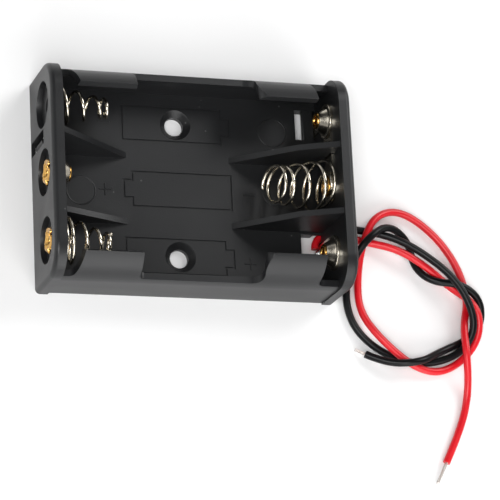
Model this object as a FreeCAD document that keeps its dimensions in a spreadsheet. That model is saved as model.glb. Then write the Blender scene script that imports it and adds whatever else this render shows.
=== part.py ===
"""Holder for three cylindrical cells side by side, with spring and button contacts and two wire leads.

Lengths in millimetres. X runs along the cells, Y across the three bays from the near side (-) to the
far side (+), Z up from the mounting face. The origin is the centre of the bottom face.
"""

import FreeCAD, Part
import Sketcher
import math
import os

Vector = FreeCAD.Vector

os.makedirs("parts", exist_ok=True)
doc = FreeCAD.newDocument("CellHolder")

# Driving dimensions

SIZES = [
    ("cell_diameter", 10.5),
    ("cell_axis_height", 7.4),
    ("cell_clearance", 0.2),
    ("lane_pitch", 11.8),
    ("housing_length", 52.6),
    ("housing_height", 14.5),
    ("floor_thickness", 2.0),
    ("end_wall", 2.1),
    ("side_wall", 1.1),
    ("flange_step", 0.3),
    ("top_corner_radius", 5.2),
    ("end_wall_round", 0.8),
    ("left_lip_wrap_angle", 64.0),
    ("right_lip_wrap_angle", 72.0),
    ("lip_corner", 0.9),
    ("low_wall_height", 9.25),
    ("left_notch", 3.8),
    ("left_lip_length", 9.5),
    ("right_notch", 3.1),
    ("right_lip_length", 8.8),
    ("lip_ramp_length", 3.6),
    ("left_notch_slant", 1.8),
    ("right_notch_slant", 0.6),
    ("rib_thickness", 1.0),
    ("right_rib_length", 16.2),
    ("right_rib_height", 14.0),
    ("rib_knee_from_wall", 6.5),
    ("rib_knee_height", 10.9),
    ("left_rib_length", 13.9),
    ("far_left_rib_height", 14.0),
    ("near_left_rib_height", 8.5),
    ("screw_offset", 1.3),
    ("screw_hole_diameter", 3.3),
    ("screw_seat_diameter", 5.4),
    ("window_length", 3.8),
    ("window_width", 5.4),
    ("far_window_shift", 1.3),
    ("near_window_shift", 2.35),
    ("slot_width", 2.5),
    ("slot_bottom", 0.3),
    ("slot_top", 8.7),
    ("slot_from_rib", 0.35),
    ("recess_diameter", 8.0),
    ("recess_depth", 1.0),
    ("contact_height", 8.3),
    ("plate_thickness", 0.3),
    ("plate_pad_diameter", 6.0),
    ("plate_bar_height", 3.4),
    ("plate_tail_width", 2.8),
    ("plate_foot_width", 4.6),
    ("plate_foot_length", 1.6),
    ("eyelet_diameter", 2.4),
    ("eyelet_wall", 0.35),
    ("eyelet_fit", 0.05),
    ("eyelet_head_diameter", 4.8),
    ("eyelet_flare", 0.35),
    ("spring_clamp_diameter", 3.9),
    ("button_diameter", 5.2),
    ("button_height", 1.7),
    ("button_crown_diameter", 3.3),
    ("button_head_diameter", 2.9),
    ("button_sheet", 0.3),
    ("button_rim_width", 0.45),
    ("spring_wire", 0.55),
    ("mid_spring_length", 11.7),
    ("mid_spring_base_diameter", 9.5),
    ("mid_spring_end_diameter", 6.4),
    ("end_spring_length", 9.4),
    ("far_spring_base_diameter", 6.5),
    ("near_spring_base_diameter", 7.8),
    ("end_spring_end_diameter", 3.6),
    ("mid_spring_turns", 3.5),
    ("mid_spring_spiral_turns", 1.5),
    ("end_spring_turns", 2.75),
    ("end_spring_spiral_turns", 1.25),
    ("near_spring_base_turns", 1.0),
    ("spring_closed_turns", 1.25),
    ("spring_turn_gap", 0.15),
    ("spring_steps_per_turn", 12),
    ("spring_wire_sides", 6),
    ("lead_diameter", 1.3),
    ("lead_sides", 10),
    ("lead_core_diameter", 0.7),
    ("lead_groove_clearance", 0.1),
    ("lead_bend_radius", 2.0),
    ("lead_height", 0.85),
    ("black_exit_from_middle", 4.8),
    ("exit_width", 2.3),
    ("cross_groove_from_wall", 2.2),
    ("tag_gap", 0.2),
    ("tail_shift", 0.45),
    ("running_gap", 0.3),
    ("exit_reach", 1.5),
    ("lead_fold_radius", 1.0),
    ("black_tip_length", 1.9),
    ("red_tip_length", 4.1),
    ("solder_height", 0.8),
    ("solder_diameter", 1.7),
    ("outline_width", 6.1),
    ("outline_length", 17.5),
    ("outline_line", 0.35),
    ("outline_depth", 0.2),
    ("outline_nub_width", 3.1),
    ("outline_nub_length", 1.5),
]

sheet = doc.addObject("Spreadsheet::Sheet", "Dim")
for row, (alias, size) in enumerate(SIZES, start=1):
    sheet.set(f"A{row}", alias)
    sheet.set(f"B{row}", str(size))
    sheet.setAlias(f"B{row}", alias)
doc.recompute()

# Lengths that follow from the driving dimensions, as formulas on the sheet's names

HALF_LENGTH = "Dim.housing_length / 2"
TOP_CORNER = "min(Dim.top_corner_radius; Dim.housing_height - Dim.low_wall_height)"
INNER_END = "(Dim.housing_length / 2 - Dim.end_wall)"
LIP_INNER = "(Dim.cell_diameter / 2 + Dim.cell_clearance)"
LIP_OUTER = f"({LIP_INNER} + Dim.side_wall)"
HALF_SIDE = f"(Dim.lane_pitch + {LIP_OUTER})"
HALF_WIDTH = f"({HALF_SIDE} + Dim.flange_step)"
RIB_Y = "(Dim.lane_pitch / 2)"
SLOT_Y = f"({RIB_Y} + Dim.slot_from_rib)"
GROOVE_HALF = "(Dim.lead_diameter / 2 + Dim.lead_groove_clearance)"
GROOVE_DEPTH = f"(Dim.lead_height + {GROOVE_HALF})"
CROSS_X = f"({INNER_END} - Dim.cross_groove_from_wall)"
PLATE_FACE = f"({INNER_END} - Dim.plate_thickness)"
BLACK_EXIT = "Dim.black_exit_from_middle"
SLOT_X = f"({INNER_END} + Dim.end_wall / 2)"
GROOVE_START = f"(-{SLOT_X} - {GROOVE_HALF} / 2)"
TAG_END = f"(-{SLOT_X} - Dim.end_wall / 4)"
FAR_WINDOW_Y = "(Dim.lane_pitch + Dim.far_window_shift)"
NEAR_WINDOW_Y = "(-Dim.lane_pitch + Dim.near_window_shift)"
NEAR_TAIL_Y = f"({NEAR_WINDOW_Y} - Dim.tail_shift)"
TAG_OUTER = f"({SLOT_Y} + Dim.slot_width / 2 - Dim.tag_gap)"
TAG_INNER = f"({TAG_OUTER} - Dim.plate_thickness)"
TAG_BOTTOM = "(Dim.contact_height - Dim.plate_bar_height / 2)"
TAG_TOP = "(Dim.slot_top - Dim.tag_gap)"
ON_TAG_HEIGHT = f"(({TAG_BOTTOM} + {TAG_TOP}) / 2)"


def number(formula):
    """Value of a formula on the sheet's names."""
    return float(sheet.evalExpression(formula))


def vector(x, y, z):
    return Vector(number(x), number(y), number(z))


# Helpers for sketches and features

ON_PLANE = 1e-6


def new_body(label):
    body = doc.addObject("PartDesign::Body", label)
    body.Label = label
    return body


def origin_part(body, role):
    return next(f for f in body.Origin.OriginFeatures if f.Role == role)


def new_sketch(body, name, plane, shift=None):
    """Sketch on an origin plane of the body, shifted by formulas along the plane's x, y and normal."""
    sketch = body.newObject("Sketcher::SketchObject", name)
    sketch.AttachmentSupport = [(origin_part(body, plane), "")]
    sketch.MapMode = "FlatFace"
    for axis, formula in zip("xyz", shift or ()):
        if formula != "0":
            sketch.setExpression(f".AttachmentOffset.Base.{axis}", formula)
    return sketch


def bind(sketch, constraint, formula):
    """Adds a dimension whose value is the formula."""
    index = sketch.addConstraint(constraint)
    sketch.setExpression(f"Constraints[{index}]", formula)


def place(sketch, geometry, end, x, y):
    """Ties one end of a piece of geometry to a point given by two formulas."""
    for kind, formula in (("DistanceX", x), ("DistanceY", y)):
        bind(sketch, Sketcher.Constraint(kind, -1, 1, geometry, end, number(formula)), formula)


def arc_between(start, end, radius, side):
    """Arc from start to end; side is 1 where its centre lies left of the way from start to end, else -1."""
    chord = end - start
    middle = (start + end) / 2
    rise = math.sqrt(max(radius**2 - (chord.Length / 2) ** 2, 0.0))
    left = Vector(-chord.y, chord.x, 0).normalize()
    centre = middle + left * (rise * side)
    first = math.atan2(start.y - centre.y, start.x - centre.x)
    last = math.atan2(end.y - centre.y, end.x - centre.x)
    if side < 0:
        first, last = last, first
    circle = Part.Circle(centre, Vector(0, 0, 1), radius)
    return Part.ArcOfCircle(circle, first, last if last > first else last + 2 * math.pi)


def outline(sketch, corners):
    """Closed outline through corners: (x, y), or (x, y, radius, side) where an arc leads to the next."""
    first = sketch.GeometryCount
    count = len(corners)
    points = [Vector(number(c[0]), number(c[1]), 0) for c in corners]
    starts = []
    for i, corner in enumerate(corners):
        start, end = points[i], points[(i + 1) % count]
        if len(corner) == 2:
            sketch.addGeometry(Part.LineSegment(start, end))
            starts.append((1, 2))
        else:
            side = corner[3]
            sketch.addGeometry(arc_between(start, end, number(corner[2]), side))
            starts.append((1, 2) if side > 0 else (2, 1))
    for i in range(count):
        following = (i + 1) % count
        ends = (first + i, starts[i][1], first + following, starts[following][0])
        sketch.addConstraint(Sketcher.Constraint("Coincident", *ends))
    for i, corner in enumerate(corners):
        place(sketch, first + i, starts[i][0], corner[0], corner[1])
        if len(corner) > 2:
            bind(sketch, Sketcher.Constraint("Radius", first + i, number(corner[2])), corner[2])


def rectangle(sketch, x0, x1, y0, y1):
    outline(sketch, [(x0, y0), (x1, y0), (x1, y1), (x0, y1)])


def circle(sketch, x, y, diameter):
    centre = Vector(number(x), number(y), 0)
    index = sketch.addGeometry(Part.Circle(centre, Vector(0, 0, 1), number(diameter) / 2))
    place(sketch, index, 3, x, y)
    bind(sketch, Sketcher.Constraint("Diameter", index, number(diameter)), diameter)


def extrude(body, kind, name, sketch, length, both_ways=False, reverse=False):
    """Pad or Pocket of a sketch."""
    feature = body.newObject(f"PartDesign::{kind}", name)
    feature.Profile = sketch
    feature.setExpression("Length", length)
    if both_ways:
        feature.SideType = "Symmetric"
    feature.Reversed = reverse
    return feature


def revolve(body, name, sketch, axis, angle=None, reverse=False):
    feature = body.newObject("PartDesign::Revolution", name)
    feature.Profile = sketch
    feature.ReferenceAxis = (sketch, [axis])
    if angle is None:
        feature.Angle = 360
    else:
        feature.setExpression("Angle", angle)
    feature.Reversed = reverse
    return feature


def mirror(body, name, features, plane):
    feature = body.newObject("PartDesign::Mirrored", name)
    feature.Originals = features
    feature.MirrorPlane = (origin_part(body, plane), [""])
    body.Tip = feature
    return feature


# Housing


def build_housing():
    """One moulding: floor, low side walls with cell-retaining lips, tall end walls and four ribs."""
    body = new_body("housing")

    section = new_sketch(body, "TraySection", "YZ_Plane")
    inner = f"{HALF_SIDE} - Dim.side_wall"
    outline(
        section,
        [
            (f"-{HALF_SIDE}", "0"),
            (HALF_SIDE, "0"),
            (HALF_SIDE, "Dim.cell_axis_height"),
            (inner, "Dim.cell_axis_height"),
            (inner, "Dim.floor_thickness"),
            (f"-({inner})", "Dim.floor_thickness"),
            (f"-({inner})", "Dim.cell_axis_height"),
            (f"-{HALF_SIDE}", "Dim.cell_axis_height"),
        ],
    )
    extrude(body, "Pad", "Tray", section, "Dim.housing_length", both_ways=True)

    for side, start, end, angle in (
        ("Left", f"-{HALF_LENGTH}", "0", "Dim.left_lip_wrap_angle"),
        ("Right", "0", HALF_LENGTH, "Dim.right_lip_wrap_angle"),
    ):
        axis = ("0", "Dim.lane_pitch", "Dim.cell_axis_height")
        band = new_sketch(body, f"{side}LipBand", "XY_Plane", axis)
        rectangle(band, start, end, LIP_INNER, LIP_OUTER)
        lip = revolve(body, f"Far{side}Lip", band, "H_Axis", angle)
        doc.recompute()
        mirror(body, f"Near{side}Lip", [lip], "XZ_Plane")
    cut_lips(body)

    end_section = new_sketch(body, "EndWallSection", "YZ_Plane", ("0", "0", f"-{HALF_LENGTH}"))
    corner = f"{HALF_WIDTH} - {TOP_CORNER}"
    shoulder = f"Dim.housing_height - {TOP_CORNER}"
    outline(
        end_section,
        [
            (f"-{HALF_WIDTH}", "0"),
            (HALF_WIDTH, "0"),
            (HALF_WIDTH, shoulder, TOP_CORNER, 1),
            (corner, "Dim.housing_height"),
            (f"-({corner})", "Dim.housing_height", TOP_CORNER, 1),
            (f"-{HALF_WIDTH}", shoulder),
        ],
    )
    left_wall = extrude(body, "Pad", "LeftEndWall", end_section, "Dim.end_wall")
    doc.recompute()
    mirror(body, "RightEndWall", [left_wall], "YZ_Plane")
    round_end_walls(body)

    add_ribs(body)
    cut_wall_openings(body)
    cut_floor_openings(body)
    return body


def round_end_walls(body):
    """Rounds the outer edges of both end walls, except along the bottom face."""
    doc.recompute()
    walls = body.Tip
    outer = number(HALF_LENGTH)
    edges = []
    for i, edge in enumerate(walls.Shape.Edges, start=1):
        box = edge.BoundBox
        at_end = abs(abs(box.Center.x) - outer) < ON_PLANE and box.XLength < ON_PLANE
        if at_end and box.ZMax > ON_PLANE:
            edges.append(f"Edge{i}")
    fillet = body.newObject("PartDesign::Fillet", "EndWallRound")
    fillet.Base = (walls, edges)
    fillet.setExpression("Radius", "Dim.end_wall_round")
    doc.recompute()


def cut_lips(body):
    """The lips stand only near the ends: the walls between and beside them are cut down to a low rim."""
    low, corner = "Dim.low_wall_height", "Dim.lip_corner"
    high = f"(Dim.cell_axis_height + {LIP_OUTER} + Dim.side_wall / 2)"
    tip = f"(Dim.cell_axis_height + {LIP_OUTER} * sin(Dim.right_lip_wrap_angle * 1 deg))"
    left_start = f"(-{INNER_END} + Dim.left_notch)"
    left_end = f"({left_start} + Dim.left_lip_length)"
    right_end = f"({INNER_END} - Dim.right_notch)"
    right_start = f"({right_end} - Dim.right_lip_length)"
    rise = f"({tip} - {low})"
    ramp_radius = f"((Dim.lip_ramp_length ^ 2 + {rise} ^ 2) / (4 * {rise}))"
    ramp_start = f"({right_start} - Dim.lip_ramp_length)"

    cut = new_sketch(body, "LipCut", "XZ_Plane")
    outline(
        cut,
        [
            (f"({left_end} + {corner})", low),
            (ramp_start, low, ramp_radius, 1),
            (f"({right_start} - Dim.lip_ramp_length / 2)", f"({low} + {rise} / 2)", ramp_radius, -1),
            (right_start, tip),
            (right_start, high),
            (left_end, high),
            (left_end, f"({low} + {corner})", corner, 1),
        ],
    )
    for side, slant, foot, wall, top in (
        (-1, "Dim.left_notch_slant", f"({left_start} - Dim.left_notch_slant)", f"-{HALF_LENGTH}", left_start),
        (1, "Dim.right_notch_slant", f"({right_end} - Dim.right_notch_slant)", HALF_LENGTH, right_end),
    ):
        lean = f"(-({side}) * {slant})"
        climb = f"({high} - {low})"
        edge = f"(({slant} ^ 2 + {climb} ^ 2) ^ 0.5)"
        turn = f"(({edge} + {slant}) / {climb})"
        outline(
            cut,
            [
                (wall, low),
                (f"({foot} + ({side}) * {corner})", low, f"({corner} * {turn})", -side),
                (f"({foot} + {lean} * {corner} / {edge})", f"({low} + {climb} * {corner} / {edge})"),
                (top, high),
                (wall, high),
            ],
        )
    extrude(body, "Pocket", "BetweenLips", cut, f"4 * {HALF_WIDTH}", both_ways=True)


def add_ribs(body):
    """Ribs between the bays, sloping from the end walls down to the floor."""
    root, in_wall = "Dim.floor_thickness / 2", f"({INNER_END} + Dim.end_wall / 2)"
    for name, plane_y, left_height in (
        ("FarRibs", f"-{RIB_Y}", "Dim.far_left_rib_height"),
        ("NearRibs", RIB_Y, "Dim.near_left_rib_height"),
    ):
        sketch = new_sketch(body, f"{name}Profile", "XZ_Plane", ("0", "0", plane_y))
        toe = f"({INNER_END} - Dim.right_rib_length)"
        outline(
            sketch,
            [
                (toe, root),
                (in_wall, root),
                (in_wall, "Dim.right_rib_height"),
                (INNER_END, "Dim.right_rib_height"),
                (f"({INNER_END} - Dim.rib_knee_from_wall)", "Dim.rib_knee_height"),
                (toe, "Dim.floor_thickness"),
            ],
        )
        left_toe = f"(-{INNER_END} + Dim.left_rib_length)"
        outline(
            sketch,
            [
                (f"-{in_wall}", root),
                (left_toe, root),
                (left_toe, "Dim.floor_thickness"),
                (f"-{INNER_END}", left_height),
                (f"-{in_wall}", left_height),
            ],
        )
        extrude(body, "Pad", name, sketch, "Dim.rib_thickness", both_ways=True)


def cut_wall_openings(body):
    """Eyelet holes in round recesses, the lead slot of the left wall and the gaps that the bridges pass."""
    for name, end, reverse in (("Left", f"-{HALF_LENGTH}", True), ("Right", HALF_LENGTH, False)):
        recesses = new_sketch(body, f"{name}Recesses", "YZ_Plane", ("0", "0", end))
        holes = new_sketch(body, f"{name}Holes", "YZ_Plane", ("0", "0", end))
        for lane in ("-Dim.lane_pitch", "0", "Dim.lane_pitch"):
            circle(recesses, lane, "Dim.contact_height", "Dim.recess_diameter")
            circle(holes, lane, "Dim.contact_height", "Dim.eyelet_diameter + 2 * Dim.eyelet_fit")
        extrude(body, "Pocket", f"{name}RecessCut", recesses, "Dim.recess_depth", reverse=reverse)
        extrude(body, "Pocket", f"{name}HoleCut", holes, "Dim.end_wall", reverse=reverse)

    slot = new_sketch(body, "LeadSlot", "YZ_Plane", ("0", "0", f"-{HALF_LENGTH}"))
    rectangle(
        slot,
        f"({SLOT_Y} - Dim.slot_width / 2)",
        f"({SLOT_Y} + Dim.slot_width / 2)",
        "Dim.slot_bottom",
        "Dim.slot_top",
    )
    extrude(body, "Pocket", "LeadSlotCut", slot, "Dim.end_wall", reverse=True)

    low = "(Dim.contact_height - Dim.plate_bar_height / 2 - Dim.running_gap)"
    high = "(Dim.contact_height + Dim.plate_bar_height / 2 + Dim.running_gap)"
    near_face = f"({PLATE_FACE} - Dim.running_gap)"
    for name, plane_y, start, end in (
        ("RightBridgeGap", f"-{RIB_Y}", near_face, INNER_END),
        ("LeftBridgeGap", RIB_Y, f"-{INNER_END}", f"-{near_face}"),
    ):
        gap = new_sketch(body, name, "XZ_Plane", ("0", "0", plane_y))
        rectangle(gap, start, end, low, high)
        extrude(body, "Pocket", f"{name}Cut", gap, "2 * Dim.rib_thickness", both_ways=True)


def cut_floor_openings(body):
    """Screw holes, terminal windows, the lead's groove under the floor and the marks on the floor."""
    screws = new_sketch(body, "ScrewCentres", "XY_Plane", ("0", "0", "Dim.floor_thickness"))
    for lane in ("-Dim.lane_pitch", "Dim.lane_pitch"):
        circle(screws, "-Dim.screw_offset", lane, "Dim.screw_hole_diameter")
    doc.recompute()
    hole = body.newObject("PartDesign::Hole", "ScrewHoles")
    hole.Profile = screws
    doc.recompute()
    hole.setExpression("Diameter", "Dim.screw_hole_diameter")
    hole.DepthType = "ThroughAll"
    hole.HoleCutType = "Countersink"
    hole.setExpression("HoleCutDiameter", "Dim.screw_seat_diameter")
    hole.HoleCutCountersinkAngle = 90
    doc.recompute()

    windows = new_sketch(body, "Windows", "XY_Plane")
    for middle in (FAR_WINDOW_Y, NEAR_WINDOW_Y):
        rectangle(
            windows,
            f"({INNER_END} - Dim.window_length)",
            INNER_END,
            f"({middle} - Dim.window_width / 2)",
            f"({middle} + Dim.window_width / 2)",
        )
    extrude(body, "Pocket", "WindowCut", windows, "4 * Dim.floor_thickness", both_ways=True)

    groove = new_sketch(body, "LeadGroove", "XY_Plane")
    half, bend = GROOVE_HALF, "Dim.lead_bend_radius"
    outer, inner = f"({bend} + {half})", f"({bend} - {half})"
    start, exit_y = GROOVE_START, f"(-{BLACK_EXIT})"
    outline(
        groove,
        [
            (start, f"({SLOT_Y} - {half})"),
            (f"({CROSS_X} - {bend})", f"({SLOT_Y} - {half})", inner, -1),
            (f"({CROSS_X} - {half})", f"({SLOT_Y} - {bend})"),
            (f"({CROSS_X} - {half})", f"({exit_y} + {bend})", outer, 1),
            (f"({CROSS_X} + {bend})", f"({exit_y} - {half})"),
            (f"({INNER_END} + Dim.end_wall / 2)", f"({exit_y} - {half})"),
            (f"({INNER_END} + Dim.end_wall / 2)", f"({exit_y} + {half})"),
            (f"({CROSS_X} + {bend})", f"({exit_y} + {half})", inner, -1),
            (f"({CROSS_X} + {half})", f"({exit_y} + {bend})"),
            (f"({CROSS_X} + {half})", f"({SLOT_Y} - {bend})", outer, 1),
            (f"({CROSS_X} - {bend})", f"({SLOT_Y} + {half})"),
            (start, f"({SLOT_Y} + {half})"),
        ],
    )
    extrude(body, "Pocket", "LeadGrooveCut", groove, GROOVE_DEPTH, reverse=True)

    exits = new_sketch(body, "LeadExit", "XY_Plane")
    rectangle(
        exits,
        f"({INNER_END} - Dim.exit_reach)",
        HALF_LENGTH,
        f"({exit_y} - {half} - Dim.exit_width)",
        f"({exit_y} + {half})",
    )
    extrude(body, "Pocket", "LeadExitCut", exits, GROOVE_DEPTH, reverse=True)

    for name, lane, nub_side in (
        ("FarOutline", "Dim.lane_pitch", 1),
        ("MidOutline", "0", -1),
        ("NearOutline", "-Dim.lane_pitch", 1),
    ):
        mark = new_sketch(body, name, "XY_Plane", ("0", "0", "Dim.floor_thickness"))
        for grow in ("Dim.outline_line / 2", "-Dim.outline_line / 2"):
            cell_outline(mark, lane, nub_side, grow)
        extrude(body, "Pocket", f"{name}Cut", mark, "Dim.outline_depth")


def cell_outline(sketch, lane, nub_side, grow):
    """Silhouette of a cell about the screw line, its nub to +X or -X, grown outwards by a formula."""
    half = "(Dim.outline_length + Dim.outline_nub_length) / 2"
    back = f"(-Dim.screw_offset - {nub_side} * ({half} + {grow}))"
    shoulder = f"(-Dim.screw_offset + {nub_side} * ({half} - Dim.outline_nub_length + {grow}))"
    nub = f"(-Dim.screw_offset + {nub_side} * ({half} + {grow}))"
    wide = f"(Dim.outline_width / 2 + {grow})"
    narrow = f"(Dim.outline_nub_width / 2 + {grow})"
    outline(
        sketch,
        [
            (back, f"({lane} - {wide})"),
            (shoulder, f"({lane} - {wide})"),
            (shoulder, f"({lane} - {narrow})"),
            (nub, f"({lane} - {narrow})"),
            (nub, f"({lane} + {narrow})"),
            (shoulder, f"({lane} + {narrow})"),
            (shoulder, f"({lane} + {wide})"),
            (back, f"({lane} + {wide})"),
        ],
    )


# Contact parts


def seat_on_wall(body, side, lane):
    """Stands a part that is drawn along +X from its seat on an end wall's inner face, on a lane's axis."""
    body.setExpression(".Placement.Base.x", INNER_END if side == "right" else f"-{INNER_END}")
    body.setExpression(".Placement.Base.y", lane)
    body.setExpression(".Placement.Base.z", "Dim.contact_height")
    body.setExpression(".Placement.Rotation.Angle", "180 deg" if side == "right" else "0 deg")


def build_button(label, side, lane):
    """Dished disc that the cell's positive end touches, seated on its plate round the eyelet."""
    body = new_body(label)
    profile = new_sketch(body, f"{label}Profile", "XY_Plane")
    base, sheet_t = "Dim.plate_thickness", "Dim.button_sheet"
    crown = f"({base} + Dim.button_height)"
    bore = "(Dim.eyelet_diameter / 2 + Dim.eyelet_fit)"
    rim, crown_r = "(Dim.button_diameter / 2)", "(Dim.button_crown_diameter / 2)"
    foot_r = f"({rim} - Dim.button_rim_width)"
    outline(
        profile,
        [
            (base, rim),
            (base, f"({foot_r} - {sheet_t})"),
            (f"({crown} - {sheet_t})", f"({crown_r} - {sheet_t} / 2)"),
            (f"({crown} - {sheet_t})", bore),
            (crown, bore),
            (crown, crown_r),
            (f"({base} + {sheet_t})", foot_r),
            (f"({base} + {sheet_t})", rim),
        ],
    )
    revolve(body, f"{label}Turn", profile, "H_Axis")
    seat_on_wall(body, side, lane)
    return body


def build_eyelet(label, side, lane, reach, head_diameter):
    """Hollow brass rivet through the wall, flared in the outer recess and rolled over what it clamps."""
    body = new_body(label)
    profile = new_sketch(body, f"{label}Profile", "XY_Plane")
    back = "(-(Dim.end_wall - Dim.recess_depth))"
    shank, bore = "(Dim.eyelet_diameter / 2)", "(Dim.eyelet_diameter / 2 - Dim.eyelet_wall)"
    head, flare = f"({head_diameter} / 2)", "(Dim.eyelet_head_diameter / 2)"
    outline(
        profile,
        [
            (f"({back} - Dim.eyelet_flare)", bore),
            (f"({reach} + Dim.eyelet_flare)", bore),
            (f"({reach} + Dim.eyelet_flare)", f"({head} - Dim.eyelet_flare / 2)"),
            (f"({reach} + Dim.eyelet_flare / 2)", head),
            (reach, head),
            (reach, shank),
            (back, shank),
            (back, flare),
            (f"({back} - Dim.eyelet_flare)", f"({flare} - Dim.eyelet_flare)"),
        ],
    )
    revolve(body, f"{label}Turn", profile, "H_Axis")
    seat_on_wall(body, side, lane)
    return body


def plate_body(label, side):
    """Body and sketch of a plate that lies on an end wall's inner face; the pad grows into the bay."""
    body = new_body(label)
    face = PLATE_FACE if side == "right" else f"-{INNER_END}"
    return body, new_sketch(body, f"{label}Profile", "YZ_Plane", ("0", "0", face))


def build_bridge(label, side, lane_from, lane_to):
    """Plate that joins two lanes: a round pad at each and a bar between them."""
    body, sketch = plate_body(label, side)
    pad, bar = "(Dim.plate_pad_diameter / 2)", "(Dim.plate_bar_height / 2)"
    neck = f"(({pad} ^ 2 - {bar} ^ 2) ^ 0.5)"
    level = "Dim.contact_height"
    outline(
        sketch,
        [
            (f"({lane_from} + {neck})", f"({level} - {bar})"),
            (f"({lane_to} - {neck})", f"({level} - {bar})", pad, 1),
            (f"({lane_to} + {pad})", level, pad, 1),
            (f"({lane_to} - {neck})", f"({level} + {bar})"),
            (f"({lane_from} + {neck})", f"({level} + {bar})", pad, 1),
            (f"({lane_from} - {pad})", level, pad, 1),
        ],
    )
    for lane in (lane_from, lane_to):
        circle(sketch, lane, level, "Dim.eyelet_diameter + 2 * Dim.eyelet_fit")
    extrude(body, "Pad", f"{label}Sheet", sketch, "Dim.plate_thickness")
    return body


def add_tail(body, label, middle):
    """Tail of a right-hand plate: down the wall and through its floor window."""
    sketch = new_sketch(body, f"{label}Tail", "YZ_Plane", ("0", "0", PLATE_FACE))
    half = "Dim.plate_tail_width / 2"
    pad_low = "(Dim.contact_height - Dim.plate_pad_diameter / 4)"
    rectangle(sketch, f"({middle} - {half})", f"({middle} + {half})", "Dim.slot_bottom", pad_low)
    extrude(body, "Pad", f"{label}TailSheet", sketch, "Dim.plate_thickness")


def add_foot(body, label, middle):
    """Foot of a tail, bent flat into the window."""
    sketch = new_sketch(body, f"{label}Foot", "XY_Plane", ("0", "0", "Dim.slot_bottom"))
    half = "Dim.plate_foot_width / 2"
    rectangle(
        sketch,
        f"({PLATE_FACE} - Dim.plate_foot_length)",
        f"({PLATE_FACE} + Dim.plate_thickness)",
        f"({middle} - {half})",
        f"({middle} + {half})",
    )
    extrude(body, "Pad", f"{label}FootSheet", sketch, "Dim.plate_thickness")


def build_terminal_near_right():
    """Positive terminal of the near bay, with the tail that the red lead is soldered to."""
    body, sketch = plate_body("terminal_plate_near_right", "right")
    circle(sketch, "-Dim.lane_pitch", "Dim.contact_height", "Dim.plate_pad_diameter")
    circle(sketch, "-Dim.lane_pitch", "Dim.contact_height", "Dim.eyelet_diameter + 2 * Dim.eyelet_fit")
    extrude(body, "Pad", "NearRightSheet", sketch, "Dim.plate_thickness")
    add_tail(body, "NearRight", NEAR_TAIL_Y)
    return body


def build_terminal_far_left():
    """Negative terminal of the far bay: pad, bar to the lead slot and a tag bent out through it."""
    body, sketch = plate_body("terminal_plate_far_left", "left")
    pad, bar = "(Dim.plate_pad_diameter / 2)", "(Dim.plate_bar_height / 2)"
    neck = f"(({pad} ^ 2 - {bar} ^ 2) ^ 0.5)"
    level, lane = "Dim.contact_height", "Dim.lane_pitch"
    outline(
        sketch,
        [
            (TAG_INNER, f"({level} - {bar})"),
            (f"({lane} - {neck})", f"({level} - {bar})", pad, 1),
            (f"({lane} + {pad})", level, pad, 1),
            (f"({lane} - {neck})", f"({level} + {bar})"),
            (TAG_INNER, f"({level} + {bar})"),
        ],
    )
    extrude(body, "Pad", "FarLeftSheet", sketch, "Dim.plate_thickness")
    tag = new_sketch(body, "FarLeftTag", "XZ_Plane", ("0", "0", f"-{TAG_INNER}"))
    rectangle(tag, TAG_END, f"(-{INNER_END})", TAG_BOTTOM, TAG_TOP)
    extrude(body, "Pad", "FarLeftTagSheet", tag, "Dim.plate_thickness", reverse=True)
    return body


# Springs and leads

MITRED = 1  # transition mode of a pipe shell
ARC_SHARE = 0.45  # of the shorter run beside a corner, for the arc's tangent length
VOLUME_TOLERANCE = 0.01


def ring(centre, along, radius, sides):
    """Closed many-sided outline round a point, square to a direction."""
    upright = abs(along.z) > abs(along.x) + abs(along.y)
    across = along.cross(Vector(1, 0, 0) if upright else Vector(0, 0, 1)).normalize()
    up = along.cross(across).normalize()
    angles = [2 * math.pi * corner / sides for corner in range(sides)]
    corners = [centre + (across * math.cos(a) + up * math.sin(a)) * radius for a in angles]
    return Part.makePolygon(corners + corners[:1])


def add_feature(label, shape, placement=None):
    feature = doc.addObject("Part::Feature", label)
    feature.Label = label
    feature.Shape = shape
    if placement is not None:
        feature.Placement = placement
    return feature


def spring_path(length, base_radius, end_radius, active_turns, spiral_turns, base_turns):
    """Centre line along +X: a flat spiral, close base turns, a cone of open turns, close end turns."""
    wire = number("Dim.spring_wire")
    seat = number("Dim.plate_thickness") + wire / 2
    start_radius = base_radius
    if spiral_turns:
        start_radius = number("Dim.eyelet_diameter / 2 + Dim.eyelet_fit") + wire / 2
    closed_turns, closed_pitch = number("Dim.spring_closed_turns"), wire + number("Dim.spring_turn_gap")
    open_height = length - seat - wire / 2 - (base_turns + closed_turns) * closed_pitch
    open_start = spiral_turns + base_turns
    per_turn = int(number("Dim.spring_steps_per_turn"))
    turns = open_start + active_turns + closed_turns
    points = []
    for step in range(int(turns * per_turn) + 1):
        turn = step / per_turn
        opened = min(max(turn - open_start, 0.0) / active_turns, 1.0)
        radius = base_radius + (end_radius - base_radius) * opened
        if turn < spiral_turns:
            radius = start_radius + (base_radius - start_radius) * turn / spiral_turns
        close = min(max(turn - spiral_turns, 0.0), base_turns) + max(turn - open_start - active_turns, 0.0)
        x = seat + open_height * opened + closed_pitch * close
        angle = 2 * math.pi * turn
        points.append(Vector(x, radius * math.cos(angle), radius * math.sin(angle)))
    return points


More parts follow.
